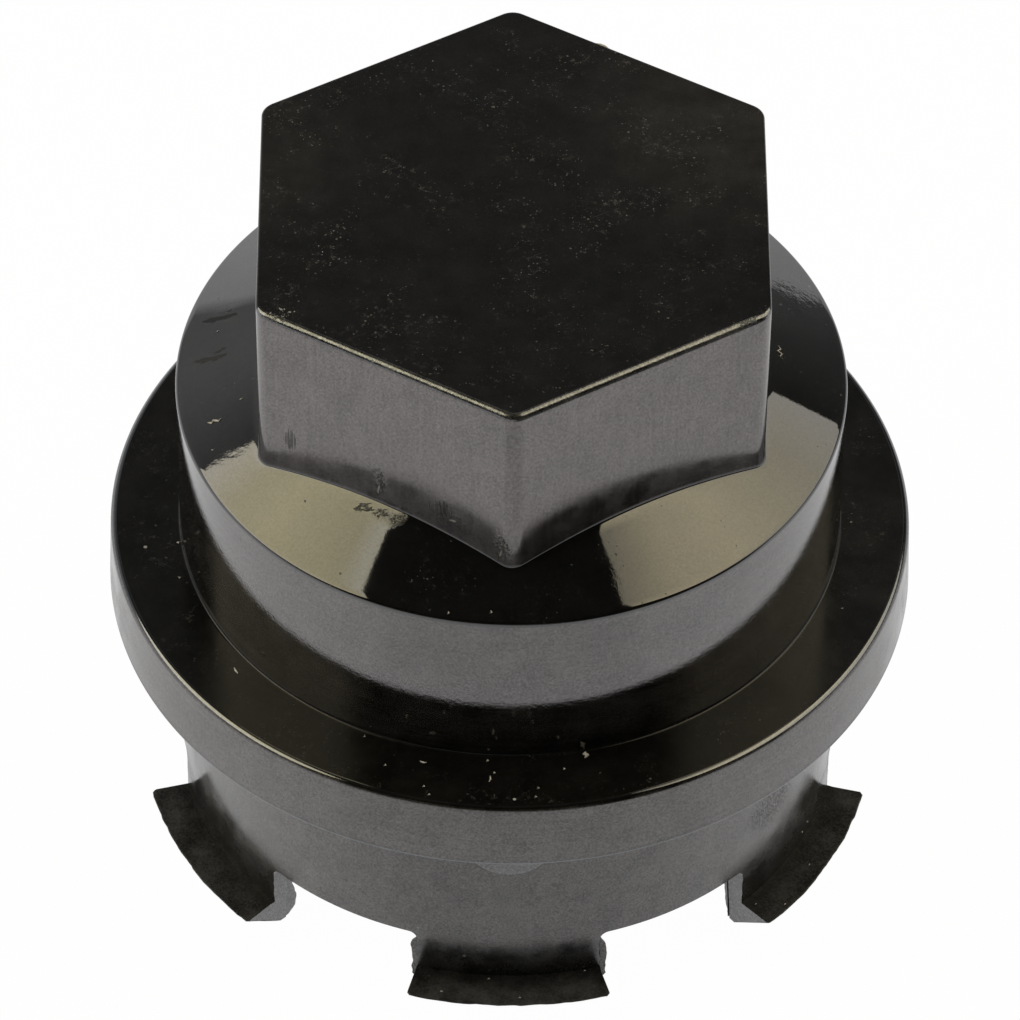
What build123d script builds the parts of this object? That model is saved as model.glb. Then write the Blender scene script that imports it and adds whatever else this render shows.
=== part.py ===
from build123d import *
from math import cos, radians, tan
import os

# Wheel nut cover cap, moulded in one piece: a hexagonal head on a round shoulder, a flange,
# and a skirt with snap tabs round its open bottom. Sizes are in mm and angles in degrees.
# The tips of the tabs are at Z 0, and a corner of the hexagon and one tab face -Y.

# Heights, stacked from the tab tips up
tab_drop = 3.95
skirt_height = 8.75
flange_thickness = 3.5
shoulder_height = 8.45
head_height = 10.35

# Hexagonal head
head_sides = 6
head_across_flats = 22.0
head_corner_radius = 0.9
head_top_round = 0.3

# Round shoulder with a sloping top, a little narrower than the skirt
shoulder_inset = 0.35
shoulder_slope = 26.0
shoulder_rim_cut = 0.1

# Flange, which reaches out from the skirt
flange_reach = 2.9
flange_draft = 2.3
flange_edge_round = 0.28

# Snap tabs: legs flush with the skirt, each with a barb at its end
tab_count = 6
tab_half_angle = 15.7
tab_ledge_height = 1.65
tab_ledge_reach = 1.8
tab_nose_width = 0.4
tab_corner_cut = 0.12
tab_root_round = 0.4

# Bore for the nut's thread, and the walls round the hollow inside
thread_radius = 13.5
skirt_wall = 1.7
shoulder_wall = 2.5
head_wall = 2.0
roof_wall = 2.0
tab_tip_wall = 0.7
tab_root_wall = 1.0

# Round gate mark on the skirt above the front tab, its centre a little below the flange
gate_radius = 2.0
gate_drop = 2.1
gate_rise = 0.12

# Levels and radii that follow
skirt_bottom = tab_drop
flange_bottom = skirt_bottom + skirt_height
flange_top = flange_bottom + flange_thickness
rim_level = flange_top + shoulder_height
head_top = rim_level + head_height
slope_rise = tan(radians(shoulder_slope))
skirt_radius = thread_radius + skirt_wall
shoulder_radius = skirt_radius - shoulder_inset
flange_radius = skirt_radius + flange_reach
flange_top_radius = flange_radius - flange_thickness * tan(radians(flange_draft))
ledge_radius = skirt_radius + tab_ledge_reach
socket_radius = shoulder_radius - shoulder_wall
tab_tip_bore = skirt_radius - tab_tip_wall
tab_root_bore = skirt_radius - tab_root_wall
match_tolerance = 1e-5


def upright_face(points):
    """Face in the XZ plane from pairs of radius and height."""
    return make_face(Polyline(*[(radius, 0, level) for radius, level in points], close=True))


def corner_at(outline, radius, level):
    """Corner of an upright face at one radius and height."""
    spot = Vector(radius, 0, level)
    return [v for v in outline.vertices() if (Vector(v) - spot).length < match_tolerance]


def edges_between(shape, low, high):
    """Edges of a shape that run from one level to another."""
    found = []
    for edge in shape.edges():
        ends = sorted(vertex.Z for vertex in edge.vertices())
        if len(ends) == 2 and abs(ends[0] - low) + abs(ends[1] - high) < match_tolerance:
            found.append(edge)
    return found


def round_body():
    """Ring of barbs, skirt, flange and sloping shoulder, solid to the axis."""
    outline = upright_face(
        [
            (0, 0),
            (tab_tip_bore + tab_nose_width, 0),
            (ledge_radius, tab_ledge_height),
            (skirt_radius, tab_ledge_height),
            (skirt_radius, flange_bottom),
            (flange_radius, flange_bottom),
            (flange_top_radius, flange_top),
            (shoulder_radius, flange_top),
            (shoulder_radius, rim_level),
            (0, rim_level + shoulder_radius * slope_rise),
        ]
    )
    outline = fillet(corner_at(outline, flange_top_radius, flange_top), flange_edge_round)
    outline = chamfer(corner_at(outline, shoulder_radius, rim_level), shoulder_rim_cut)
    return revolve(outline, Axis.Z)


def hexagon(across_flats):
    """Hexagon with rounded corners, one of them on -Y."""
    shape = RegularPolygon(across_flats / 2, head_sides, major_radius=False, rotation=180 / head_sides)
    return fillet(shape.vertices(), head_corner_radius)


def head():
    """Hexagonal head, rising from inside the shoulder."""
    solid = extrude(Pos(0, 0, rim_level) * hexagon(head_across_flats), head_height)
    return fillet(solid.faces().sort_by(Axis.Z)[-1].edges(), head_top_round)


def tab_gap():
    """Space between two tabs, rounded at the tabs' roots."""
    spread = tan(radians(180 / tab_count - tab_half_angle))
    near, far = socket_radius, 2 * skirt_radius
    outline = Polygon(
        (-near * spread, -near),
        (-far * spread, -far),
        (far * spread, -far),
        (near * spread, -near),
        align=None,
    )
    solid = extrude(outline, skirt_bottom)
    sides = solid.edges().group_by(Axis.Z)[-1].filter_by(Axis.X, reverse=True)
    return fillet(sides, tab_root_round)


def gate_mark():
    """Shallow round witness of the moulding gate."""
    centre = Pos(0, 0, flange_bottom - gate_drop)
    skin = Cylinder(skirt_radius + gate_rise, 2 * gate_radius)
    plug = Cylinder(gate_radius, skirt_radius + 2 * gate_rise, align=(Align.CENTER, Align.CENTER, Align.MIN))
    return centre * (skin & Rot(90, 0, 0) * plug)


def hollow():
    """Space inside: tapered mouth between the tabs, threaded bore, socket and hexagonal pocket."""
    thread_bottom = skirt_bottom + tab_root_bore - thread_radius
    thread_top = flange_bottom
    roof_drop = roof_wall / cos(radians(shoulder_slope))
    roof_edge = rim_level + shoulder_wall * slope_rise - roof_drop
    rounds = revolve(
        upright_face(
            [
                (0, 0),
                (tab_tip_bore, 0),
                (tab_root_bore, skirt_bottom),
                (thread_radius, thread_bottom),
                (thread_radius, thread_top),
                (socket_radius, thread_top + thread_radius - socket_radius),
                (socket_radius, roof_edge),
                (0, roof_edge + socket_radius * slope_rise),
            ]
        ),
        Axis.Z,
    )
    pocket = Pos(0, 0, thread_top) * hexagon(head_across_flats - 2 * head_wall)
    return rounds + extrude(pocket, head_top - roof_wall - thread_top)


cap = round_body() + head() + gate_mark()
cap -= [Rot(0, 0, (turn + 0.5) * 360 / tab_count) * tab_gap() for turn in range(tab_count)]
cap -= hollow()
cap = chamfer(edges_between(cap, 0, tab_ledge_height), tab_corner_cut)

os.makedirs("parts", exist_ok=True)
export_step(cap, "parts/nut_cover_cap.step")
print("solids", len(cap.solids()), "faces", len(cap.faces()), "volume", round(cap.volume, 1))
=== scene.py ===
from math import atan2, cos, degrees, pi, radians, sin, sqrt, tan

import bpy
from mathutils import Matrix, Vector, noise


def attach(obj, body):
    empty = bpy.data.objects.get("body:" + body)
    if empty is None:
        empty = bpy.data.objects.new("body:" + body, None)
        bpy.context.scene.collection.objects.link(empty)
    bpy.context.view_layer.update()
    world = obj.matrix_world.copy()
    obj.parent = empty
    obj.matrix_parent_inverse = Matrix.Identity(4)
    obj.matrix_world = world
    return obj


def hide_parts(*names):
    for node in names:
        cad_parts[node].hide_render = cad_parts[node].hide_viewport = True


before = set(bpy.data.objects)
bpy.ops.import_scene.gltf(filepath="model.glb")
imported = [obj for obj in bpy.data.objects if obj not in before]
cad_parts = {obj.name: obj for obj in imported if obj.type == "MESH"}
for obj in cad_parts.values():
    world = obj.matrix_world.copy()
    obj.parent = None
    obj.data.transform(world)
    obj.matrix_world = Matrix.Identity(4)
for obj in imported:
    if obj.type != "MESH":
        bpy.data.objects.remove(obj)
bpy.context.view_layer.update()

MM = 0.001

# Camera: a long lens that looks down on a corner of the hexagon; angles in degrees, lengths in mm
CAMERA_AIM_HEIGHT = 16.1
CAMERA_TURN = -0.6
CAMERA_ELEVATION = 46.61
CAMERA_DISTANCE = 327.0
CAMERA_ROLL = 0.667
CAMERA_LENS = 256.28
CAMERA_SENSOR = 36.0

# Light panels and floor; the shadow is the share of the floor's own shading that the camera sees
PANEL_DISTANCE = 500.0
FLOOR_SIZE = 3000.0
FLOOR_SHADOW = 0.015

# The cap's levels and radii in mm, as in the solid
HEAD_TOP = 35.0
RIM_LEVEL = 24.65
FLANGE_TOP = 16.2
FLANGE_BOTTOM = 12.7
SKIRT_BOTTOM = 3.95
LEDGE_LEVEL = 1.65
HEAD_HALF_FLATS = 11.0
POCKET_HALF_FLATS = 9.0
POCKET_TOP = 33.0
HEAD_CORNER = 0.9
TOP_ROUND_FRONT = 0.31
TOP_ROUND_BACK = 0.12
SHOULDER_RADIUS = 14.85
SHOULDER_SLOPE = 26.0
RIM_ROUND = 0.2
FLANGE_RADIUS = 18.1
FLANGE_DRAFT = 2.3
FLANGE_ROUND = 0.28
SKIRT_RADIUS = 15.2
LEDGE_RADIUS = 17.0
NOSE_RADIUS = 14.9
TIP_BORE = 14.5
ROOT_BORE = 14.2
THREAD_RADIUS = 13.5
SOCKET_RADIUS = 12.35
ROOF_EDGE = 23.644
TAB_HALF_ANGLE = 15.7
TAB_CORNER_CUT = 0.12
TAB_ROOT_ROUND = 0.4
SLOPE_RISE = tan(radians(SHOULDER_SLOPE))
SECTORS = 6
SEAM = 0.04

# Colours of dust and lint
DUST_COLOUR = (0.55, 0.56, 0.57, 1)
LINT_COLOUR = (1.0, 0.98, 0.93)

# Fine shapes that the solid leaves out, in mm
LEDGE_CREASE = 0.004
BARB_ROUND = 0.05
THREAD_TURNS = 3.0
THREAD_STEPS = 96
THREAD_PITCH = 2.0
THREAD_START = 5.65
THREAD_DEPTH = 1.05
FLASH_BOTTOM = 0.06
FLASH_HEIGHT = 3.6
FLASH_STEPS = 36
GATE_LEVEL = 10.68
GATE_STEPS = 56
LIFT = 0.02


def direction(azimuth, elevation):
    """Unit vector from the cap, azimuth clockwise from +Y seen from above."""
    a, e = radians(azimuth), radians(elevation)
    return Vector((sin(a) * cos(e), cos(a) * cos(e), sin(e)))


def spaced(start, end, count):
    """Evenly spaced values after the start, up to the end."""
    return [start + (end - start) * k / count for k in range(1, count + 1)]


def round_off(corner, way_in, way_out, radius, steps):
    """Points of a small round that joins two lines at a corner."""
    corner = Vector(corner)
    one, two = Vector(way_in).normalized(), Vector(way_out).normalized()
    half = one.angle(two) / 2
    centre = corner + (one + two).normalized() * radius / sin(half)
    first = corner + one * radius / tan(half) - centre
    last = corner + two * radius / tan(half) - centre
    turn = first.angle(last)
    return [centre + (first * sin((1 - k / steps) * turn) + last * sin(k / steps * turn)) / sin(turn)
            for k in range(steps + 1)]


def hexagon_radius(t, half_flats, inset=0.0):
    """Distance from the axis to a rounded hexagon, t degrees from one of its corners."""
    a = radians(abs(t))
    centre = (half_flats - HEAD_CORNER) / cos(pi / 6)
    arc = HEAD_CORNER - inset
    if tan(a) < arc * sin(pi / 6) / (centre + arc * cos(pi / 6)):
        return centre * cos(a) + sqrt(arc * arc - (centre * sin(a)) ** 2)
    return (half_flats - inset) / cos(pi / 6 - a)


def column_angles():
    """Angles of the mesh's columns in one sixth of the cap, measured from its corner."""
    centre = (HEAD_HALF_FLATS - HEAD_CORNER) / cos(pi / 6)
    arc = [radians(30 * k / 8) for k in range(9)]
    half = [degrees(atan2(HEAD_CORNER * sin(a), centre + HEAD_CORNER * cos(a))) for a in arc]
    cut = degrees(TAB_CORNER_CUT / LEDGE_RADIUS)
    root = degrees(TAB_ROOT_ROUND / SKIRT_RADIUS)
    half += spaced(half[-1], TAB_HALF_ANGLE - cut, 14)
    half += spaced(half[-1], TAB_HALF_ANGLE, 2)
    half += [TAB_HALF_ANGLE + root * (1 - cos(radians(15 * k))) for k in range(1, 7)]
    half += spaced(half[-1], 30, 9)
    return [-t for t in reversed(half[1:-1])] + half


def skirt_edge(t):
    """Level of the skirt's bottom edge: rounded beside a tab, and the root's level within it."""
    gap = radians(abs(t) - TAB_HALF_ANGLE) * SKIRT_RADIUS
    if gap >= TAB_ROOT_ROUND:
        return SKIRT_BOTTOM
    rest = TAB_ROOT_ROUND - max(gap, 0.0)
    return SKIRT_BOTTOM - TAB_ROOT_ROUND + sqrt(max(TAB_ROOT_ROUND ** 2 - rest ** 2, 0.0))


def mouth_radius(level):
    """Radius of the tapered mouth inside the tabs."""
    return TIP_BORE + (ROOT_BORE - TIP_BORE) * level / SKIRT_BOTTOM


def front_share(angle):
    """One on the two front sides of the head and nought on the others."""
    away = abs((angle + 270) % 360 - 180)
    share = min(1.0, max(0.0, (64 - away) / 8))
    return share * share * (3 - 2 * share)


def outer_profile(t, angle):
    """Rows of one column, from the head's top to the skirt's edge: region, radius and level."""
    rows = []

    def put(region, points):
        rows.extend((region, p[0], p[1]) for p in points)

    front = front_share(angle)
    edge = TOP_ROUND_BACK + (TOP_ROUND_FRONT - TOP_ROUND_BACK) * front
    flat = hexagon_radius(t, HEAD_HALF_FLATS, edge + SEAM)
    put("top", [(flat * k, HEAD_TOP) for k in (0.1, 0.35, 0.6, 0.8, 0.93, 1.0)])
    for k in range(9):
        a = radians(90 * k / 8)
        # On the front edges the upper part of the round takes the lighter edge finish: a painted highlight
        # where the lamps catch these edges, partly a worn edge.
        put("top" if front < 0.3 else "edge" if k < 6 else "head",
            [(hexagon_radius(t, HEAD_HALF_FLATS, edge * (1 - sin(a))), HEAD_TOP - edge * (1 - cos(a)))])
    side = hexagon_radius(t, HEAD_HALF_FLATS)
    foot = RIM_LEVEL + (SHOULDER_RADIUS - side) * SLOPE_RISE
    down = (1.0, -SLOPE_RISE)
    put("head", [(side, HEAD_TOP - edge - SEAM), (side, (HEAD_TOP + foot) / 2), (side, foot + 0.2)])
    put("cone", round_off((side, foot), (0, 1), down, 0.12, 4))
    for share in (0.12, 0.35, 0.65, 0.92):
        radius = side + (SHOULDER_RADIUS - side) * share
        put("cone", [(radius, RIM_LEVEL + (SHOULDER_RADIUS - radius) * SLOPE_RISE)])
    put("cone", round_off((SHOULDER_RADIUS, RIM_LEVEL), (-1.0, SLOPE_RISE), (0, -1), RIM_ROUND, 7))
    put("shoulder", [(SHOULDER_RADIUS, RIM_LEVEL - 0.2), (SHOULDER_RADIUS, FLANGE_TOP + 0.2)])
    put("flange", round_off((SHOULDER_RADIUS, FLANGE_TOP), (0, 1), (1, 0), 0.1, 4))
    put("flange", [(SHOULDER_RADIUS + 0.15, FLANGE_TOP), (SHOULDER_RADIUS + 1.4, FLANGE_TOP)])
    lean = tan(radians(FLANGE_DRAFT))
    top_radius = FLANGE_RADIUS - (FLANGE_TOP - FLANGE_BOTTOM) * lean
    put("flange", [(top_radius - FLANGE_ROUND - SEAM, FLANGE_TOP)])
    bend = round_off((top_radius, FLANGE_TOP), (-1, 0), (lean, -1), FLANGE_ROUND, 14)
    put("lip", bend[:7])
    put("rim", bend[7:])
    put("rim", [(FLANGE_RADIUS - (level - FLANGE_BOTTOM) * lean, level) for level in (15.7, 14.2, 13.0)])
    for region, steps in (("lip", ((0.015, 0.09), (0.01, 0.07), (0.01, 0.05))),
                          ("rim", ((0.02, 0.02), (0.05, 0.0), (0.1, 0.0), (1.5, 0.0)))):
        put(region, [(FLANGE_RADIUS - inset, FLANGE_BOTTOM + rise) for inset, rise in steps])
    put("skirt", round_off((SKIRT_RADIUS, FLANGE_BOTTOM), (1, 0), (0, -1), 0.15, 4))
    put("skirt", [(SKIRT_RADIUS, level) for level in spaced(12.5, 4.5, 8)])
    put("skirt", [(SKIRT_RADIUS, skirt_edge(t))])
    return rows


def ragged(spot, size, seed):
    """Uneven number about zero, which changes over the given length in mm."""
    broad = noise.noise(Vector((spot / size, seed, 0.5)))
    return broad + 0.5 * noise.noise(Vector((spot / size * 3.1, seed, 4.5)))


def tab_profile(t, angle):
    """Rows of a tab's column, from below the skirt's edge round the barb to the mouth."""
    rows = []
    cut = radians(abs(t) - TAB_HALF_ANGLE) * LEDGE_RADIUS + TAB_CORNER_CUT
    back = max(cut, 0.0)
    tip = LEDGE_RADIUS - back + 0.05 * ragged(radians(angle) * LEDGE_RADIUS, 0.8, 1.0)
    nose = NOSE_RADIUS - back * 0.6
    levels = (3.3, 3.1, 2.9, 2.7, 2.5, 2.3, 2.1, LEDGE_LEVEL + 0.25)
    rows += [("leg", SKIRT_RADIUS, level) for level in levels]
    inner = round_off((SKIRT_RADIUS, LEDGE_LEVEL), (0, 1), (1, 0), LEDGE_CREASE, 5)
    rows += [("ledge", p[0], p[1]) for p in inner]
    rows += [("ledge", SKIRT_RADIUS + (tip - SKIRT_RADIUS) * k, LEDGE_LEVEL) for k in (0.15, 0.4, 0.7, 0.9)]
    slope = Vector((nose - tip, -LEDGE_LEVEL))
    outer = round_off((tip, LEDGE_LEVEL), (-1, 0), slope, BARB_ROUND, 4)
    rows += [("ledge", p[0], p[1]) for p in outer]
    rows += [("leg", tip + slope[0] * k, LEDGE_LEVEL * (1 - k)) for k in (0.15, 0.5, 0.85, 1.0)]
    rows += [("leg", TIP_BORE, 0.0)]
    rows += [("leg", mouth_radius(level), level) for level in (0.5, 1.6, 2.7)]
    return rows


def inner_profile(t, angle):
    """Rows of one column inside, from the skirt's edge to the pocket's ceiling."""
    edge = skirt_edge(t)
    rows = [(mouth_radius(edge), edge), (mouth_radius(edge) * 0.3 + ROOT_BORE * 0.7, 3.98)]
    rows += [(THREAD_RADIUS, 4.65), (THREAD_RADIUS, 6.6), (THREAD_RADIUS, 8.6), (THREAD_RADIUS, 10.6)]
    rows += [(THREAD_RADIUS, 12.7), (SOCKET_RADIUS, 13.85), (SOCKET_RADIUS, 18.0)]
    rows += [(SOCKET_RADIUS, ROOF_EDGE - 0.05), (SOCKET_RADIUS - 0.05, ROOF_EDGE + 0.05 * SLOPE_RISE)]
    side = hexagon_radius(t, POCKET_HALF_FLATS)
    foot = ROOF_EDGE + (SOCKET_RADIUS - side) * SLOPE_RISE
    rows += [(side + 0.1, foot - 0.1 * SLOPE_RISE), (side, foot + 0.1), (side, 30.0)]
    rows += [(side, POCKET_TOP - 0.2), (side - 0.2, POCKET_TOP)]
    rows += [(side * 0.5, POCKET_TOP), (side * 0.1, POCKET_TOP)]
    return [("inside", r, z) for r, z in rows]


class Skin:
    """Points and faces of one mesh, with a region for each face."""

    def __init__(self):
        self.points, self.faces, self.regions = [], [], []

    def point(self, radius, angle, level):
        """New point, from its radius, angle in degrees and level in mm."""
        a = radians(angle)
        self.points.append(Vector((radius * cos(a), radius * sin(a), level)) * MM)
        return len(self.points) - 1

    def face(self, region, *corners):
        """New face, its corners anticlockwise seen from outside."""
        self.faces.append(corners)
        self.regions.append(region)

    def strip(self, region, upper, lower):
        """Faces between two rows of points."""
        for k in range(len(upper) - 1):
            kind = region if isinstance(region, str) else region[k]
            self.face(kind, lower[k], lower[k + 1], upper[k + 1], upper[k])

    def build(self, name, materials, sharp=32):
        """Mesh object, shaded smooth except at its sharp edges."""
        mesh = bpy.data.meshes.new(name)
        mesh.from_pydata(self.points, [], self.faces)
        order = list(materials)
        for region in order:
            mesh.materials.append(materials[region])
        mesh.polygons.foreach_set("material_index", [order.index(r) for r in self.regions])
        mesh.shade_smooth()
        mesh.set_sharp_from_angle(angle=radians(sharp))
        mesh.validate()
        piece = bpy.data.objects.new(name, mesh)
        bpy.context.scene.collection.objects.link(piece)
        return piece


def end_wobble(t, spot):
    """Small unevenness of a tab's cut ends, in degrees."""
    if abs(t) < TAB_HALF_ANGLE - 1e-6:
        return 0.0
    return 0.26 * ragged(spot[1] + 1.7 * spot[2], 0.4, t)


def cap_skin():
    """The whole cap's surface: one closed skin."""
    skin = Skin()
    columns = [(-90 + 60 * s + t, t) for s in range(SECTORS) for t in column_angles()]
    count = len(columns)

    def rings(profile):
        stacks = [profile(t, angle) for angle, t in columns]
        made = []
        for k in range(len(stacks[0])):
            row = [skin.point(stacks[j][k][1], columns[j][0], stacks[j][k][2]) for j in range(count)]
            made.append(([stack[k][0] for stack in stacks], row + row[:1]))
        return made

    outer, inner = rings(outer_profile), rings(inner_profile)
    for stack in (outer, inner):
        for above, below in zip(stack, stack[1:]):
            skin.strip(above[0], above[1], below[1])
    crown = skin.point(0, 0, HEAD_TOP)
    ceiling = skin.point(0, 0, POCKET_TOP)
    for k in range(count):
        skin.face("top", crown, outer[0][1][k], outer[0][1][k + 1])
        skin.face("inside", ceiling, inner[-1][1][k + 1], inner[-1][1][k])
    edge, mouth = outer[-1][1], inner[0][1]
    per_sector = count // SECTORS
    for s in range(SECTORS):
        inside = [j for j in range(s * per_sector, (s + 1) * per_sector)
                  if abs(columns[j][1]) < TAB_HALF_ANGLE + 1e-6]
        stacks = [tab_profile(columns[j][1], columns[j][0]) for j in inside]
        rows = [("leg", [edge[j] for j in inside])]
        for k in range(len(stacks[0])):
            row = [(stacks[i][k], columns[j]) for i, j in enumerate(inside)]
            rows.append((stacks[0][k][0], [skin.point(spot[1], angle + end_wobble(t, spot), spot[2])
                                           for spot, (angle, t) in row]))
        rows.append(("leg", [mouth[j] for j in inside]))
        for above, below in zip(rows, rows[1:]):
            skin.strip(above[0], above[1], below[1])
        skin.face("side", *[row[1][0] for row in rows])
        skin.face("side", *[row[1][-1] for row in reversed(rows)])
        gap = range(inside[-1], (s + 1) * per_sector + per_sector // 2 - len(inside) // 2)
        for j in gap:
            a, b = j % count, (j + 1) % count
            skin.face("skirt", edge[b], edge[a], mouth[a], mouth[b])
    return skin


def thread_skin():
    """Helical ridge of the thread inside, thinning out at both ends."""
    skin = Skin()
    last = int(THREAD_TURNS * THREAD_STEPS)
    rows = []
    for k in range(last + 1):
        ease = min(k, last - k) / 12
        fade = min(1.0, ease) ** 0.7
        level = THREAD_START + THREAD_PITCH * k / THREAD_STEPS
        root = THREAD_RADIUS + 0.03
        crest = THREAD_RADIUS - THREAD_DEPTH * fade
        angle = 360 * k / THREAD_STEPS
        width = 0.3 + 0.55 * fade
        section = ((root, -width), (crest, -0.2), (crest, 0.2), (root, width))
        rows.append([skin.point(radius, angle, level + rise) for radius, rise in section])
    for one, two in zip(rows, rows[1:]):
        for k in range(3):
            skin.face("inside", one[k], two[k], two[k + 1], one[k + 1])
        skin.face("inside", one[3], two[3], two[0], one[0])
    skin.face("inside", *rows[0])
    skin.face("inside", *reversed(rows[-1]))
    return skin


def flash_rows(skin, end, sign, seed, outline):
    """Rows of one strip of flash; the outline gives points inward from the mouth and beyond the tab."""
    rows = []
    for k in range(FLASH_STEPS + 1):
        level = FLASH_BOTTOM + FLASH_HEIGHT * k / FLASH_STEPS
        ease = min(1.0, 0.3 + k / 4, (FLASH_STEPS - k) / 4)
        near = mouth_radius(level)
        row = []
        for inward, beyond in outline(level, ragged(level, 0.9, seed), ease):
            row.append(skin.point(near - inward, end + sign * degrees(beyond / near), level))
        rows.append(row)
    return rows


def flash_skin():
    """Ragged thin flash: beyond the front tab's ends, and inward from the ends of the other tabs."""
    skin = Skin()

    def fin(level, rough, ease):
        reach = max(0.02, ease * (0.06 + 0.4 * min(1.0, max(0.0, (3.5 - level) / 1.3)) + 0.12 * rough))
        return ((0.0, -0.1), (-0.16, -0.1), (-0.13, reach), (-0.04, reach))

    def wide(level, rough, ease):
        reach = max(0.03, ease * (0.24 + 0.36 * min(1.0, max(0.0, (2.0 - level) / 0.9)) + 0.15 * rough))
        return ((-0.1, -0.02), (0.0, 0.0), (reach, 0.0), (reach, -0.1), (-0.1, -0.3))

    def split(level, rough, ease):
        reach = max(0.11, ease * (0.13 + 0.07 * level + 0.09 * rough))
        return ((-0.05, -0.15), (0.05, -0.15), (0.08, 0.0), (reach, 0.0), (reach, -0.1), (-0.05, -0.4))

    for s in range(SECTORS):
        for sign in (-1, 1):
            outline = fin if s == 0 else wide if sign > 0 else split
            rows = flash_rows(skin, -90 + 60 * s + sign * TAB_HALF_ANGLE, sign, 7.0 * s + sign, outline)
            region = "flash" if s == 0 else "side"
            turned = (sign > 0) == (s == 0)
            count = len(rows[0])
            for one, two in zip(rows, rows[1:]):
                for k in range(count):
                    j = (k + 1) % count
                    corners = (one[k], one[j], two[j], two[k])
                    skin.face(region, *(corners if turned else reversed(corners)))
            skin.face(region, *(reversed(rows[0]) if turned else rows[0]))
            skin.face(region, *(rows[-1] if turned else reversed(rows[-1])))
    return skin


def gate_skin():
    """Shallow round mark of the moulding gate, on the skirt above the front tab."""
    skin = Skin()
    shape = ((0.5, 0.09), (1.1, 0.09), (1.6, 0.1), (1.84, 0.12),
             (1.92, 0.12), (1.97, 0.09), (2.0, 0.03), (2.03, -0.05))
    rows = []
    for out, rise in shape:
        row = []
        for k in range(GATE_STEPS + 1):
            a = 2 * pi * k / GATE_STEPS
            angle = -90 + degrees(out * cos(a) / SKIRT_RADIUS)
            row.append(skin.point(SKIRT_RADIUS + rise, angle, GATE_LEVEL + out * sin(a)))
        rows.append(row)
    crown = skin.point(SKIRT_RADIUS + shape[0][1], -90, GATE_LEVEL)
    for k in range(GATE_STEPS):
        skin.face("gate", crown, rows[0][k], rows[0][k + 1])
    for above, below in zip(rows, rows[1:]):
        skin.strip("gate", above, below)
    return skin


def tube(skin, region, path, width):
    """Thin tube along a path of points in mm, pointed at both ends."""
    sides = 6
    rows = []
    for k, spot in enumerate(path):
        along = (Vector(path[min(k + 1, len(path) - 1)]) - Vector(path[max(k - 1, 0)])).normalized()
        across = along.orthogonal().normalized()
        other = along.cross(across)
        size = width if 0 < k < len(path) - 1 else width * 0.3
        row = []
        for j in range(sides):
            a = 2 * pi * j / sides
            skin.points.append((Vector(spot) + (across * cos(a) + other * sin(a)) * size) * MM)
            row.append(len(skin.points) - 1)
        rows.append(row + row[:1])
    for one, two in zip(rows, rows[1:]):
        skin.strip(region, two, one)
    skin.face(region, *reversed(rows[0][:-1]))
    skin.face(region, *rows[-1][:-1])


def on_ring(radius, angle, level):
    """Point at a radius and level; the angle is in degrees from the front, to the right."""
    a = radians(angle)
    return (radius * sin(a), -radius * cos(a), level)


def on_cone(radius, angle):
    """Point just above the sloping shoulder."""
    return on_ring(radius, angle, RIM_LEVEL + (SHOULDER_RADIUS - radius) * SLOPE_RISE + LIFT)


def on_flange(radius, angle):
    """Point just above the flange."""
    return on_ring(radius, angle, FLANGE_TOP + LIFT)


# Fibres: where they lie, their width in mm, and points of radius and angle
FIBRES = (
    (on_cone, 0.035, ((11.75, 92.6), (11.85, 91.6), (11.7, 90.8), (11.9, 90.2), (11.8, 89.4), (11.95, 88.9))),
    (on_cone, 0.05, ((13.75, -75.6), (13.6, -75.0), (13.5, -75.4), (13.3, -74.6), (13.15, -75.0))),
    (on_flange, 0.09, ((14.98, 12.6), (15.08, 12.3), (15.18, 12.7), (15.3, 12.2))),
    (on_flange, 0.05, ((15.6, -51.4), (15.66, -50.6), (15.68, -49.9))),
    (on_flange, 0.04, ((15.7, -14.6), (15.74, -14.0), (15.72, -13.5))),
    (on_flange, 0.05, ((14.95, -81.8), (15.02, -81.5), (15.1, -81.7))),
    (on_flange, 0.035, ((16.05, -3.2), (16.25, -3.1), (16.4, -3.3))),
)
# Fibre at the head's far edge, as points in mm, and its width
EDGE_FIBRE = ((3.6, 10.6, 34.92), (3.85, 10.53, 34.9), (4.05, 10.4, 34.93), (4.3, 10.2, 34.9))
EDGE_FIBRE_WIDTH = 0.05
# Crumbs, as radius and angle, and those on the tabs also with a level
CRUMB_WIDTH = 0.03
TAB_CRUMB_WIDTH = 0.032
FLANGE_CRUMBS = ((16.3, -19.6), (17.0, -12.9), (17.4, -11.8), (15.1, -25.0), (15.1, -3.9), (15.7, 8.4),
                 (17.2, 3.5), (15.8, -2.7), (16.7, 4.0), (15.9, 67.6), (15.3, 87.0), (15.3, -73.7))
CONE_CRUMBS = ((13.9, -69.3), (12.1, -77.2), (13.1, -98.6), (14.5, -10.9), (14.3, -3.7), (14.2, 42.8))
LEDGE_CRUMBS = ((15.44, -3.2), (16.52, 1.8), (16.43, -10.5), (15.32, 13.0), (16.69, 49.0), (16.23, 58.1),
                (15.71, 45.8))
LEG_CRUMBS = ((15.22, 62.3, 2.2), (15.22, 64.4, 2.35))


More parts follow.
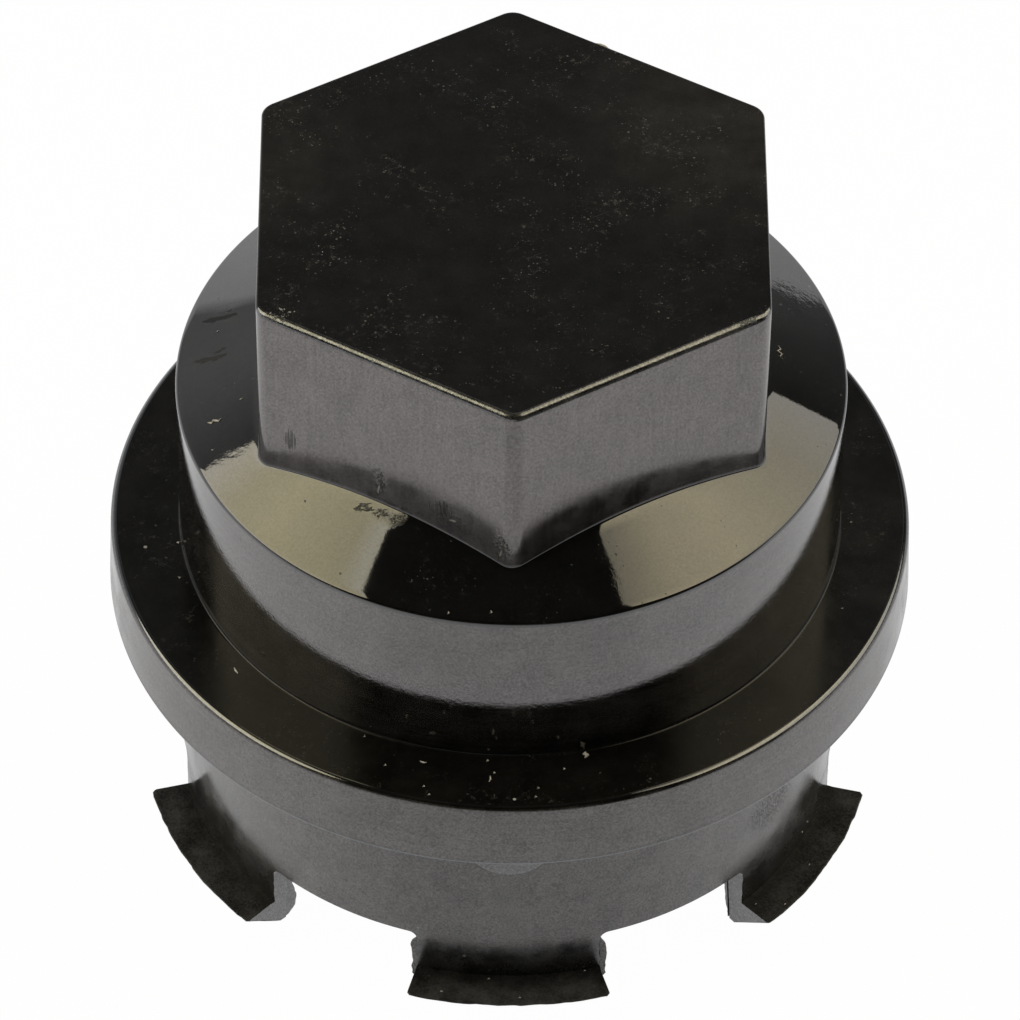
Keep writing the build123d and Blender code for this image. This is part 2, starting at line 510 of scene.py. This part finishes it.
def lint_skin():
    """Short fibres and crumbs that lie on the shoulder, the flange and the tabs."""
    skin = Skin()
    for place, width, spots in FIBRES:
        tube(skin, "lint", [place(*spot) for spot in spots], width)
    tube(skin, "lint", EDGE_FIBRE, EDGE_FIBRE_WIDTH)
    for place, crumbs in ((on_flange, FLANGE_CRUMBS), (on_cone, CONE_CRUMBS)):
        for radius, angle in crumbs:
            tube(skin, "lint", [place(radius, angle), place(radius + 0.07, angle + 0.2),
                                place(radius + 0.12, angle - 0.1)], CRUMB_WIDTH)
    spots = [(radius, angle, LEDGE_LEVEL + LIFT) for radius, angle in LEDGE_CRUMBS]
    for radius, angle, level in spots + list(LEG_CRUMBS):
        tube(skin, "lint", [on_ring(radius, angle - 0.2, level), on_ring(radius, angle, level + 0.03),
                            on_ring(radius, angle + 0.2, level)], TAB_CRUMB_WIDTH)
    return skin


def add_camera():
    """Camera at the photograph's viewing angle."""
    turn, tilt, roll = radians(CAMERA_TURN), radians(CAMERA_ELEVATION), radians(CAMERA_ROLL)
    spin = Matrix.Rotation(turn, 3, "Z")
    back = spin @ Vector((0, -cos(tilt), sin(tilt)))
    right = spin @ Vector((1, 0, 0))
    up = back.cross(right)
    rolled_right = right * cos(roll) + up * sin(roll)
    rolled_up = up * cos(roll) - right * sin(roll)
    data = bpy.data.cameras.new("camera")
    data.lens = CAMERA_LENS
    data.sensor_width = CAMERA_SENSOR
    data.clip_start = CAMERA_DISTANCE * MM / 10
    camera = bpy.data.objects.new("camera", data)
    camera.matrix_world = Matrix((rolled_right, rolled_up, back)).transposed().to_4x4()
    camera.location = Vector((0, 0, CAMERA_AIM_HEIGHT * MM)) + back * CAMERA_DISTANCE * MM
    bpy.context.scene.collection.objects.link(camera)
    bpy.context.scene.camera = camera


class Shader:
    """Short way to wire the nodes of one material or world."""

    def __init__(self, owner):
        self.owner = owner
        owner.use_nodes = True
        self.tree = owner.node_tree
        self.tree.nodes.clear()

    def node(self, kind, inputs=None, **settings):
        """New node; each input is a value or another node's output."""
        made = self.tree.nodes.new("ShaderNode" + kind)
        for name, value in settings.items():
            setattr(made, name, value)
        for name, value in (inputs or {}).items():
            if isinstance(value, bpy.types.NodeSocket):
                self.tree.links.new(value, made.inputs[name])
            else:
                made.inputs[name].default_value = value
        return made

    def math(self, operation, one, two=0.0, three=0.0):
        """Result of one sum on two or three numbers."""
        return self.node("Math", {0: one, 1: two, 2: three}, operation=operation).outputs[0]

    def place(self):
        """Position on the cap in mm."""
        spot = self.node("TexCoord").outputs["Object"]
        return self.node("VectorMath", {0: spot, "Scale": 1 / MM}, operation="SCALE").outputs["Vector"]

    def stretch(self, vector, x, y, z):
        """Position scaled by a factor along each axis."""
        return self.node("VectorMath", {0: vector, 1: (x, y, z)}, operation="MULTIPLY").outputs["Vector"]

    def noise(self, vector, scale, detail=2.0, roughness=0.5):
        """Soft noise from 0 to 1."""
        return self.node("TexNoise", {"Vector": vector, "Scale": scale, "Detail": detail,
                                      "Roughness": roughness}).outputs["Fac"]

    def ramp(self, value, low, high, start=0.0, end=1.0, kind="SMOOTHSTEP"):
        """Number that goes from start to end as the value goes from low to high."""
        return self.node("MapRange", {"Value": value, "From Min": low, "From Max": high, "To Min": start,
                                      "To Max": end}, interpolation_type=kind).outputs[0]

    def line(self, value, low, high, start=0.0, end=1.0):
        """Ramp that goes evenly from start to end."""
        return self.ramp(value, low, high, start, end, "LINEAR")

    def grays(self, value, stops):
        """Gray that follows stops of value and brightness."""
        made = self.node("ValToRGB", {0: value})
        elements = made.color_ramp.elements
        elements.remove(elements[1])
        elements[0].position = stops[0][0]
        elements[0].color = (*[stops[0][1]] * 3, 1)
        for spot, level in stops[1:]:
            elements.new(spot).color = (level, level, level, 1)
        return made.outputs[0]

    def specks(self, vector, size, share, radius, fade):
        """Small dots, in a share of the cells of the given size."""
        cells = self.node("TexVoronoi", {"Vector": vector, "Scale": 1 / size})
        chance = self.node("SeparateColor", {0: cells.outputs["Color"]})
        limit = self.math("MULTIPLY", chance.outputs[1], radius / size)
        near = self.math("LESS_THAN", cells.outputs["Distance"], limit)
        kept = self.math("LESS_THAN", chance.outputs[0], share)
        faint = self.math("POWER", chance.outputs[2], fade)
        return self.math("MULTIPLY", self.math("MULTIPLY", near, kept), faint)

    def mix(self, share, one, two, kind="MIX"):
        """Blend of two colours."""
        return self.node("Mix", {0: share, 6: one, 7: two}, data_type="RGBA", blend_type=kind).outputs[2]

    def finish(self, surface, output="OutputMaterial"):
        """Material or world with this surface."""
        self.node(output, {"Surface": surface})
        return self.owner


def add_plane(name, centre, normal, width, height, material):
    """Rectangle that faces along its normal, its sides level."""
    side = Vector((0, 0, 1)).cross(normal)
    side = side.normalized() if side.length > 1e-6 else Vector((1, 0, 0))
    up = normal.cross(side)
    corners = [centre + side * (sx * width / 2) + up * (sy * height / 2) for sx, sy in
               ((-1, -1), (1, -1), (1, 1), (-1, 1))]
    mesh = bpy.data.meshes.new(name)
    mesh.from_pydata(corners, [], [(0, 1, 2, 3)])
    mesh.materials.append(material)
    plane = bpy.data.objects.new(name, mesh)
    bpy.context.scene.collection.objects.link(plane)
    return plane


def add_light(name, azimuth, elevation, spread, shades):
    """Round light that faces the cap; its colour changes with elevation as the shades give it."""
    skin_points, skin_faces, colours = [], [], []
    way = direction(azimuth, elevation)
    side = Vector((0, 0, 1)).cross(way).normalized()
    up = way.cross(side)
    distance = PANEL_DISTANCE * MM
    rings, steps = 16, 64
    for k in range(rings + 1):
        for j in range(steps):
            a = 2 * pi * j / steps
            out = tan(radians(spread)) * k / rings
            spot = (way + (side * cos(a) + up * sin(a)) * out).normalized()
            skin_points.append(spot * distance)
            height = degrees(atan2(spot[2], sqrt(spot[0] ** 2 + spot[1] ** 2)))
            colours.append(blend_shades(shades, height))
    for k in range(rings):
        for j in range(steps):
            i = (j + 1) % steps
            skin_faces.append((k * steps + j, k * steps + i, (k + 1) * steps + i, (k + 1) * steps + j))
    mesh = bpy.data.meshes.new(name)
    mesh.from_pydata(skin_points, [], skin_faces)
    layer = mesh.color_attributes.new("glow", "FLOAT_COLOR", "POINT")
    for k, colour in enumerate(colours):
        layer.data[k].color = (*colour, 1)
    shader = Shader(bpy.data.materials.new(name))
    glow = shader.node("Emission", {"Color": shader.node("VertexColor", layer_name="glow").outputs[0]})
    mesh.materials.append(shader.finish(glow.outputs[0]))
    lamp = bpy.data.objects.new(name, mesh)
    bpy.context.scene.collection.objects.link(lamp)
    lamp.visible_camera = False


def blend_shades(shades, height):
    """Colour at one elevation, between the two shades next to it."""
    if height <= shades[0][0]:
        return shades[0][1]
    for (low, one), (high, two) in zip(shades, shades[1:]):
        if height <= high:
            share = (height - low) / (high - low)
            return tuple(x + (y - x) * share for x, y in zip(one, two))
    return shades[-1][1]


def add_floor():
    """Pale floor, white from above and clear from below; it keeps a faint shadow, and its mirror image
    ends some way in front of the cap."""
    shader = Shader(bpy.data.materials.new("floor"))
    matt = shader.node("BsdfDiffuse", {"Color": (0.9, 0.9, 0.9, 1)})
    path = shader.node("LightPath").outputs
    place = shader.place()
    away = shader.node("VectorMath", {0: place}, operation="LENGTH").outputs["Value"]
    axes = shader.node("SeparateXYZ", {0: place}).outputs
    sideways = shader.math("DIVIDE", axes[0], away)
    forward = shader.math("DIVIDE", axes[1], away)
    ends = shader.math("MULTIPLY", shader.ramp(away, 100, 200), shader.ramp(forward, -0.1, -0.4))
    ends = shader.math("MULTIPLY", ends, shader.ramp(sideways, -0.1, 0.35, 0.35, 1.0))
    level = shader.ramp(ends, 0.0, 1.0, 1.0, 0.08)
    # Painted shade in the floor's glow that the cap reflects: dimmer in front of the cap and a little dimmer
    # to the right.
    level = shader.math("MULTIPLY", level, shader.ramp(forward, -1.0, -0.65, 0.85, 1.0))
    level = shader.math("MULTIPLY", level, shader.ramp(sideways, 0.0, 0.7, 1.0, 0.96))
    level = shader.math("MAXIMUM", level, path["Is Camera Ray"])
    glow = shader.node("Emission", {"Strength": level})
    seen = shader.math("MAXIMUM", path["Is Camera Ray"], path["Is Glossy Ray"])
    seen = shader.math("MAXIMUM", seen, path["Is Transmission Ray"])
    share = shader.math("SUBTRACT", seen, shader.math("MULTIPLY", path["Is Camera Ray"], FLOOR_SHADOW))
    mix = shader.node("MixShader", {0: share, 1: matt.outputs[0], 2: glow.outputs[0]})
    under = shader.node("NewGeometry").outputs["Backfacing"]
    clear = shader.node("BsdfTransparent")
    sheet = shader.node("MixShader", {0: under, 1: mix.outputs[0], 2: clear.outputs[0]})
    size = FLOOR_SIZE * MM
    shader.owner.cycles.emission_sampling = "NONE"
    shader.owner.use_transparent_shadow = False
    add_plane("floor", Vector((0, 0, 0)), Vector((0, 0, 1)), size, size, shader.finish(sheet.outputs[0]))


# Brightness of the studio by elevation in degrees, on the left and on the right
LEFT_SKY = ((13.8, 1.0), (15.8, 0.36), (25, 0.43), (31, 0.37), (37, 0.26), (42, 0.17), (46, 0.02))
RIGHT_SKY = ((11, 0.85), (12.6, 0.2), (20, 0.12), (25, 0.09), (31, 0.05), (36, 0.02), (46, 0.015))


def add_world():
    """Dim studio, white to the camera: pale near the horizon, and above it gray on the left and dark on
    the right."""
    world = bpy.data.worlds.new("studio")
    bpy.context.scene.world = world
    sky = Shader(world)
    way = sky.node("TexCoord").outputs["Generated"]
    axes = sky.node("SeparateXYZ", {0: way}).outputs
    left, right = [sky.grays(axes[2], [(sin(radians(angle)), level) for angle, level in stops])
                   for stops in (LEFT_SKY, RIGHT_SKY)]
    colour = sky.mix(sky.line(axes[0], -0.3, 0.3), left, right)
    behind = sky.node("VectorMath", {0: way, 1: direction(0, 46)}, operation="DOT_PRODUCT").outputs["Value"]
    colour = sky.mix(1.0, colour, sky.ramp(behind, 0.93, 0.985, 0.0, 0.1), "ADD")
    ahead = sky.line(axes[1], -0.05, -0.35, 1.0, 0.04)
    low = sky.line(axes[2], sin(radians(13)), sin(radians(9)))
    edge = sky.math("MULTIPLY", low, sky.line(axes[0], -0.1, 0.35, 0.6, 0.08))
    studio = sky.node("Background", {"Color": colour, "Strength": sky.math("MAXIMUM", ahead, edge)})
    backdrop = sky.node("Background", {"Color": (1, 1, 1, 1)})
    camera = sky.node("LightPath").outputs["Is Camera Ray"]
    view = sky.node("MixShader", {0: camera, 1: studio.outputs[0], 2: backdrop.outputs[0]})
    sky.finish(view.outputs[0], "OutputWorld")


def plastic(name, ior, gloss, base, dust=0.0, grain=None, streak=0.0, wave=0.0, fine=0.0, marks=(), haze_and_painted_light=(),
            tint=(1, 1, 1), hairs=0.0, lean=0.0, painted_crease_shade=None):
    """Black moulded plastic, with a range of roughness as its gloss and a base colour. It may have dust, flow
    lines along a grain, streaks, slow waves and fine relief in mm, scuff marks, pale or dark patches round
    given centres (haze in some regions, painted light in others), hair scratches, a lean
    of its reflections, and painted shade: a tone that changes with the distance from the axis."""
    shader = Shader(bpy.data.materials.new(name))
    place = shader.place()
    axes = shader.node("SeparateXYZ", {0: place}).outputs
    around = shader.math("MULTIPLY", shader.math("ARCTAN2", axes[1], axes[0]), 15.0)
    cloud = shader.noise(place, 0.6, 4.0, 0.6)
    flow = place
    if grain == "upright":
        flow = shader.node("CombineXYZ", {0: shader.math("MULTIPLY", around, 3.5),
                                          1: shader.math("MULTIPLY", axes[2], 0.25)}).outputs[0]
    if grain == "level":
        flow = shader.node("CombineXYZ", {0: shader.math("MULTIPLY", around, 0.12),
                                          1: shader.math("MULTIPLY", axes[2], 5.0)}).outputs[0]
    lines = shader.noise(flow, 1.0, 4.0, 0.6)
    speckle = shader.noise(place, 10.0, 2.0, 0.75)
    uneven = shader.math("ADD", shader.math("MULTIPLY", lines, 0.3), shader.math("MULTIPLY", cloud, 0.4))
    uneven = shader.math("ADD", uneven, shader.math("MULTIPLY", speckle, 0.3))
    tone = shader.ramp(uneven, 0.36, 0.64, 1.0 - streak, 1.0 + streak)
    # Pale or dark patches of tone round given centres: haze on the top and flange, painted light on the rim
    # and skirt, tone shifts on the ledges.
    for centre, size, amount in haze_and_painted_light:
        far = shader.node("VectorMath", {0: place, 1: centre}, operation="DISTANCE").outputs["Value"]
        patch_tone = shader.math("MULTIPLY", shader.ramp(far, 0.2 * size, size, amount, 0.0), cloud)
        tone = shader.math("ADD", tone, shader.math("MULTIPLY", patch_tone, 2.0))
    # Painted shade: the tone darkens towards the axis, as in the crease where a ledge meets its leg.
    if painted_crease_shade:
        level_place = shader.stretch(place, 1, 1, 0)
        out = shader.node("VectorMath", {0: level_place}, operation="LENGTH").outputs["Value"]
        tone = shader.math("MULTIPLY", tone, shader.ramp(out, *painted_crease_shade))
    rough = shader.ramp(cloud, 0.3, 0.7, gloss[0], gloss[1])
    gleam = shader.math("ADD", shader.math("MULTIPLY", lines, 0.1), shader.math("MULTIPLY", cloud, 0.15))
    gleam = shader.math("ADD", gleam, shader.math("MULTIPLY", speckle, 0.75))
    gleam = shader.ramp(gleam, 0.3, 0.7, 0.5 - 0.2 * streak, 0.5 + 0.2 * streak)
    crowd = shader.ramp(shader.noise(place, 0.36, 4.0, 0.7), 0.44, 0.66, 0.04, 1.0)
    mask = shader.math("MULTIPLY", shader.specks(place, 2.1, 0.4, 0.1, 0.8), min(1.0, 1.6 * dust))
    if dust > 0.25:
        bent = shader.node("TexNoise", {"Vector": place, "Scale": 7.0, "Detail": 1.0}).outputs["Color"]
        bent = shader.node("VectorMath", {0: bent, "Scale": 0.16}, operation="SCALE").outputs["Vector"]
        bent = shader.node("VectorMath", {0: place, 1: bent}, operation="ADD").outputs["Vector"]
        for size, share, radius, amount in ((0.13, 0.5, 0.045, 0.25), (0.5, 0.4, 0.08, 0.55)):
            dots = shader.math("MULTIPLY", shader.specks(bent, size, share, radius, 2.0), amount * dust)
            mask = shader.math("MAXIMUM", mask, shader.math("MULTIPLY", dots, crowd))
        smear = shader.math("MULTIPLY", shader.ramp(shader.noise(bent, 2.6, 5.0, 0.85), 0.53, 0.75), crowd)
        mask = shader.math("MAXIMUM", mask, shader.math("MULTIPLY", smear, 0.15 * dust))
    for angle in (-0.5, 0.35) if hairs else ():
        turned = shader.node("VectorRotate", {"Vector": place, "Angle": angle},
                             rotation_type="Z_AXIS").outputs[0]
        line = shader.noise(shader.stretch(turned, 0.45, 9.0, 1.0), 1.0, 2.0, 0.6)
        line = shader.math("MULTIPLY", shader.ramp(line, 0.66, 0.72), shader.math("MULTIPLY", crowd, hairs))
        mask = shader.math("MAXIMUM", mask, line)
    slow = shader.math("MULTIPLY", shader.noise(place, 0.4, 1.0, 0.4), wave)
    quick = shader.math("MULTIPLY", shader.noise(place, 6.0, 3.0, 0.6), fine)
    height = shader.math("ADD", slow, quick)
    if lean:
        height = shader.math("SUBTRACT", height, shader.math("MULTIPLY", axes[2], lean))
    for centre, size, stretch, pale, relief, dull in marks:
        shift = shader.node("VectorMath", {0: place, 1: centre}, operation="SUBTRACT").outputs["Vector"]
        scaled = shader.node("VectorMath", {0: shift, 1: size}, operation="DIVIDE").outputs["Vector"]
        far = shader.node("VectorMath", {0: scaled}, operation="LENGTH").outputs["Value"]
        bits = shader.noise(shader.stretch(shift, *stretch), 1.0, 3.0, 0.65)
        score = shader.math("ADD", bits, shader.ramp(far, 0.2, 1.0, 0.1, -0.3))
        dark = shader.ramp(score, 0.56, 0.62) if pale or dull else 0.0
        kept = shader.math("SUBTRACT", 1.0, shader.math("MULTIPLY", dark, dull))
        gleam = shader.math("MULTIPLY", gleam, kept)
        kept = shader.math("SUBTRACT", 1.0, shader.math("MULTIPLY", dark, 0.8))
        tone = shader.math("MULTIPLY", tone, kept)
        rough = shader.math("MAXIMUM", rough, shader.math("MULTIPLY", dark, 0.55))
        mask = shader.math("MAXIMUM", mask, shader.math("MULTIPLY", shader.ramp(score, 0.68, 0.73), pale))
        dent = shader.math("MULTIPLY", bits, shader.ramp(far, 0.2, 1.0, relief, 0.0))
        height = shader.math("ADD", height, dent)
    black = shader.node("VectorMath", {0: base, "Scale": tone}, operation="SCALE").outputs["Vector"]
    colour = shader.mix(mask, black, DUST_COLOUR)
    rough = shader.math("MAXIMUM", rough, shader.math("MULTIPLY", shader.ramp(mask, 0.0, 0.1), 0.7))
    bump = shader.node("Bump", {"Height": height, "Strength": 1.0, "Distance": MM})
    surface = shader.node("BsdfPrincipled", {"Base Color": colour, "Roughness": rough, "IOR": ior,
                                             "Specular IOR Level": gleam, "Specular Tint": (*tint, 1),
                                             "Normal": bump.outputs[0]})
    return shader.finish(surface.outputs[0])


def lint():
    """Pale matt fibres."""
    shader = Shader(bpy.data.materials.new("lint"))
    tone = shader.ramp(shader.noise(shader.place(), 9.0, 2.0), 0.3, 0.7, 0.5, 0.8)
    colour = shader.node("VectorMath", {0: LINT_COLOUR, "Scale": tone}, operation="SCALE").outputs["Vector"]
    surface = shader.node("BsdfPrincipled", {"Base Color": colour, "Roughness": 0.8})
    return shader.finish(surface.outputs[0])


add_camera()
add_floor()
add_world()

# Lights: azimuth, elevation and half width in degrees, then colours by elevation
add_light("light_left", -89.7, 46.1, 22.8,
          ((42, (3.0, 2.8, 2.3)), (48, (2.65, 2.4, 1.6)), (54, (2.85, 2.55, 1.65)), (65, (2.2, 2.0, 1.3)),
           (67, (2.5, 2.35, 1.85))))
add_light("light_right", 76.5, 50.6, 26.7,
          ((34, (1.8, 1.7, 1.5)), (42, (1.8, 1.65, 1.25)), (57, (2.5, 2.2, 1.5)), (65, (2.15, 1.9, 1.3)),
           (72, (1.1, 1.0, 0.75))))

# Scuffs: centre and size in mm, fineness along each axis, paleness, relief in mm and dullness
HEAD_SCUFFS = (((-9.6, -7.16, 28.0), (0.8, 0.8, 1.3), (14, 14, 0.15), 0.04, 0, 0.12),
               ((-5.7, -9.41, 27.6), (0.5, 0.5, 2.0), (7, 7, 3.5), 0.5, 0.03, 0.7),
               ((-3.0, -10.95, 27.75), (1.2, 1.2, 1.0), (15, 15, 0.5), 0.15, 0.008, 0.7),
               ((-2.4, -11.3, 27.35), (0.8, 0.8, 0.7), (2, 2, 12), 0.5, 0.01, 0.4),
               ((-0.45, -12.45, 26.8), (0.7, 0.7, 1.9), (8, 8, 4.5), 0.4, 0.03, 0.6))
CONE_SCUFFS = (((-6.4, -9.55, 26.25), (1.2, 0.6, 0.6), (3, 8, 8), 0.35, 0.006, 0.6),
               ((-5.65, -9.9, 26.28), (0.9, 0.5, 0.5), (4, 9, 9), 0.5, 0.012, 0.6),
               ((-4.95, -10.27, 26.3), (0.8, 0.5, 0.5), (4, 9, 9), 0.6, 0.012, 0.6),
               ((-12.9, 2.9, 25.5), (2.4, 0.7, 1.5), (0.7, 2.6, 1.0), 0, 0.002, 0.75),
               ((-13.2, 0.4, 25.4), (2.0, 0.7, 1.5), (0.8, 3, 1.0), 0, 0.002, 0.6),
               ((-12.3, -5.6, 25.3), (1.8, 1.0, 1.0), (2, 3.5, 3), 0, 0.006, 0),
               ((4.5, -12.8, 25.3), (0.7, 1.6, 1.0), (4, 4, 4), 0, 0.0025, 0),
               ((12.6, 4.6, 25.3), (2.0, 1.8, 1.0), (0.9, 1.6, 2), 0, 0.02, 0))
EDGE_SCUFFS = (((-9.9, -6.4, 34.9), (1.7, 1.1, 0.6), (6, 6, 8), 0.5, 0.01, 0.3),
               ((9.6, -6.6, 34.9), (1.7, 1.1, 0.6), (5, 5, 8), 0.25, 0.01, 0.3))
SKIRT_PITS = (((11.8, -9.57, 7.0), (3.8, 3.8, 2.8), (16, 16, 12), 0.02, 0.002, 0.1),)

# Tints of the reflections, and the plastic's finish in each region
WARM, FAINT, COOL = (1.0, 0.94, 0.93), (1.0, 0.97, 0.96), (0.92, 0.95, 1.0)
# Patches of tone: centre in mm, size in mm and amount. Haze on the top and the flange; painted light on the
# rim and the skirt, lighter on the front left.
TOP_HAZE = (((9.5, 5.5, 35.0), 9.0, 3.0), ((-11.0, 3.0, 35.0), 6.0, 2.0))
FLANGE_HAZE = (((15.5, -5.0, 16.2), 13.0, 1.2),)
RIM_PAINTED_LIGHT = (((-12.5, -13.0, 14.5), 10.0, 0.8),)
SKIRT_PAINTED_LIGHT = (((-11.5, -10.5, 8.0), 9.0, 1.0),)
# Ledge tone: lighter round the front tab and darker round the right tab.
LEDGE_TONE_SHIFTS = (((0.0, -16.2, 1.65), 6.0, 0.6), ((14.0, -8.1, 1.65), 6.0, -0.4))
finishes = {
    "top": plastic("top", 1.5, (0.16, 0.24), (0.0042, 0.0039, 0.0036), dust=1.0, streak=0.4, wave=0.003,
                   fine=0.0002, marks=EDGE_SCUFFS[:1], haze_and_painted_light=TOP_HAZE, hairs=0.05),
    # Edge: the front top edges only, lighter than the top and head: a painted highlight where the lamps catch
    # them, partly a worn, whitened edge.
    "edge": plastic("edge", 2.4, (0.1, 0.24), (0.03, 0.03, 0.03), dust=0.3, streak=0.9, wave=0.03, fine=0.008,
                    marks=EDGE_SCUFFS, tint=COOL),
    "lip": plastic("lip", 2.3, (0.05, 0.12), (0.008, 0.0075, 0.007), dust=0.2, streak=0.4, wave=0.004,
                   fine=0.0008, tint=COOL),
    "head": plastic("head", 2.08, (0.11, 0.21), (0.022, 0.021, 0.021), dust=0.22, grain="upright", streak=0.8,
                    wave=0.002, fine=0.0005, marks=HEAD_SCUFFS, tint=WARM, lean=0.045),
    "cone": plastic("cone", 1.9, (0.02, 0.045), (0.006, 0.006, 0.006), dust=0.35, streak=0.25, wave=0.003,
                    fine=0.0003, marks=CONE_SCUFFS),
    "shoulder": plastic("shoulder", 2.04, (0.03, 0.07), (0.013, 0.0125, 0.0125), dust=0.2, grain="level",
                        streak=0.8, wave=0.004, fine=0.004, tint=FAINT),
    "flange": plastic("flange", 1.43, (0.16, 0.26), (0.006, 0.006, 0.006), dust=0.8, streak=0.4, wave=0.003,
                      fine=0.0004, haze_and_painted_light=FLANGE_HAZE),
    "rim": plastic("rim", 1.95, (0.16, 0.3), (0.019, 0.018, 0.0175), dust=0.15, grain="level", streak=0.9,
                   wave=0.006, fine=0.0015, haze_and_painted_light=RIM_PAINTED_LIGHT, tint=FAINT),
    "skirt": plastic("skirt", 1.86, (0.15, 0.28), (0.017, 0.0165, 0.0165), dust=0.2, streak=1.0, wave=0.006,
                     fine=0.0015, marks=SKIRT_PITS, haze_and_painted_light=SKIRT_PAINTED_LIGHT, tint=FAINT),
    "gate": plastic("gate", 2.1, (0.2, 0.3), (0.03, 0.03, 0.034), dust=0.1, grain="level", streak=0.9,
                    wave=0.006, fine=0.0012),
    "leg": plastic("leg", 1.8, (0.2, 0.34), (0.009, 0.009, 0.0095), dust=0.3, streak=1.0, wave=0.01,
                   fine=0.003),
    # Ledge: painted shade, darker near the leg and lighter towards the outer edge.
    "ledge": plastic("ledge", 1.4, (0.4, 0.55), (0.025, 0.025, 0.0265), dust=0.8, streak=0.9, wave=0.01,
                     fine=0.006, haze_and_painted_light=LEDGE_TONE_SHIFTS, painted_crease_shade=(15.2, 16.4, 0.3, 1.2)),
    "side": plastic("side", 1.9, (0.14, 0.3), (0.04, 0.04, 0.044), dust=0.2, streak=1.2, wave=0.03,
                    fine=0.012),
    "flash": plastic("flash", 1.6, (0.35, 0.6), (0.14, 0.14, 0.148), dust=0.3, streak=1.0, wave=0.02,
                     fine=0.01),
    "inside": plastic("inside", 1.5, (0.25, 0.4), (0.008, 0.008, 0.008), dust=0.15, grain="level", streak=0.5,
                      wave=0.006, fine=0.001),
}
pieces = [
    cap_skin().build("cap", {k: v for k, v in finishes.items() if k not in ("flash", "gate")}),
    thread_skin().build("thread", {"inside": finishes["inside"]}),
    flash_skin().build("flash", {k: finishes[k] for k in ("flash", "side")}),
    gate_skin().build("gate_mark", {"gate": finishes["gate"]}),
    lint_skin().build("lint", {"lint": lint()}),
]
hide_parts("nut_cover_cap")
for piece in pieces:
    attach(piece, "root")

bpy.context.scene.view_settings.view_transform = "Standard"
